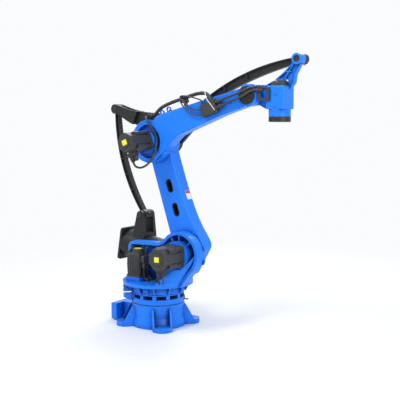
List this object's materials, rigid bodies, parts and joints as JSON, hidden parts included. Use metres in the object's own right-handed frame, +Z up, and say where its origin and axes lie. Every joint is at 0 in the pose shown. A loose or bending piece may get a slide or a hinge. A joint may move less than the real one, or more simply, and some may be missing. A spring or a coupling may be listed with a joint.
{
  "type": "palletising robot arm",
  "caption": "Floor-standing palletising robot arm with a turning base, parallel levelling links, side servo motors and a level tool flange.",
  "frame": {"origin": "point on the turning axis of the base at floor level, the centre of the base bolt circle", "axes": "+X is the reach direction at rest, +Y is the linkage side, +Z is up along the turning axis"},
  "size_m": [2.0933, 0.745, 2.3412],
  "materials": {
    "blue_paint": "semi-gloss blue paint on castings",
    "dark_paint": "satin black paint",
    "motor_black": "matt black motor paint",
    "hose_black": "black hose and cable sheath",
    "dark_steel": "blackened steel"
  },
  "bodies": {
    "base": {"base_casting": "blue_paint", "cable_box": "blue_paint"},
    "turret": {"turret_casting": "blue_paint", "j1_motor": "motor_black", "j1_pedestal": "blue_paint", "j2_motor": "motor_black", "link_fork": "dark_paint", "balancer_saddle": "blue_paint", "balancer_cylinder": "dark_paint", "balancer_end_plate": "dark_paint", "j2_reducer": "dark_steel"},
    "lower_arm": {"lower_arm_casting": "blue_paint", "elbow_reducer": "dark_steel"},
    "rocker": {"rocker": "dark_paint"},
    "rear_rod": {"rear_rod": "dark_paint"},
    "forearm": {"forearm_casting": "blue_paint", "elbow_motor_mount": "blue_paint", "j3_motor": "motor_black", "wrist_pivot_cover": "dark_paint", "dress_box": "motor_black", "hose_clip": "motor_black", "hose_strap": "motor_black", "thick_hose": "hose_black", "elbow_motor_cable": "hose_black", "thin_hoses": "hose_black", "wrist_hoses": "hose_black"},
    "upper_rod": {"upper_rod": "dark_paint"},
    "wrist": {"wrist_casting": "blue_paint", "wrist_motor": "motor_black", "wrist_hose_bracket": "motor_black"},
    "tool": {"tool_flange": "dark_steel"}
  },
  "joints": [
    {"name": "turn", "type": "hinge", "parent": "base", "child": "turret", "pos_m": [0, 0, 0.3], "axis": [0, 0, 1], "range_deg": [-175, 175]},
    {"name": "shoulder", "type": "hinge", "parent": "turret", "child": "lower_arm", "pos_m": [0.296, 0, 0.663], "axis": [0, 1, 0], "range_deg": [-20, 76]},
    {"name": "rocker_pivot", "type": "hinge", "parent": "lower_arm", "child": "rocker", "pos_m": [-0.02396, 0, 1.63047], "axis": [0, 1, 0], "range_deg": [-76, 20]},
    {"name": "elbow", "type": "hinge", "parent": "rocker", "child": "forearm", "pos_m": [-0.02396, 0, 1.63047], "axis": [0, 1, 0], "range_deg": [-10, 50]},
    {"name": "rear_rod_pivot", "type": "hinge", "parent": "turret", "child": "rear_rod", "pos_m": [-0.302, 0, 0.942], "axis": [0, 1, 0], "range_deg": [-20, 76]},
    {"name": "upper_rod_pivot", "type": "hinge", "parent": "rocker", "child": "upper_rod", "pos_m": [0.38104, 0, 1.90847], "axis": [0, 1, 0], "range_deg": [-10, 50]},
    {"name": "wrist_level", "type": "hinge", "parent": "forearm", "child": "wrist", "pos_m": [0.97829, 0, 2.01921], "axis": [0, 1, 0], "range_deg": [-50, 10], "deforming": ["wrist_hoses"]},
    {"name": "tool_turn", "type": "hinge", "parent": "wrist", "child": "tool", "pos_m": [1.23129, 0, 1.80921], "axis": [0, 0, 1], "range_deg": [-180, 180]}
  ],
  "couplings": [
    {"joint": "rocker_pivot", "follows": "shoulder", "ratio": -1},
    {"joint": "rear_rod_pivot", "follows": "shoulder", "ratio": 1},
    {"joint": "upper_rod_pivot", "follows": "elbow", "ratio": 1},
    {"joint": "wrist_level", "follows": "elbow", "ratio": -1}
  ]
}
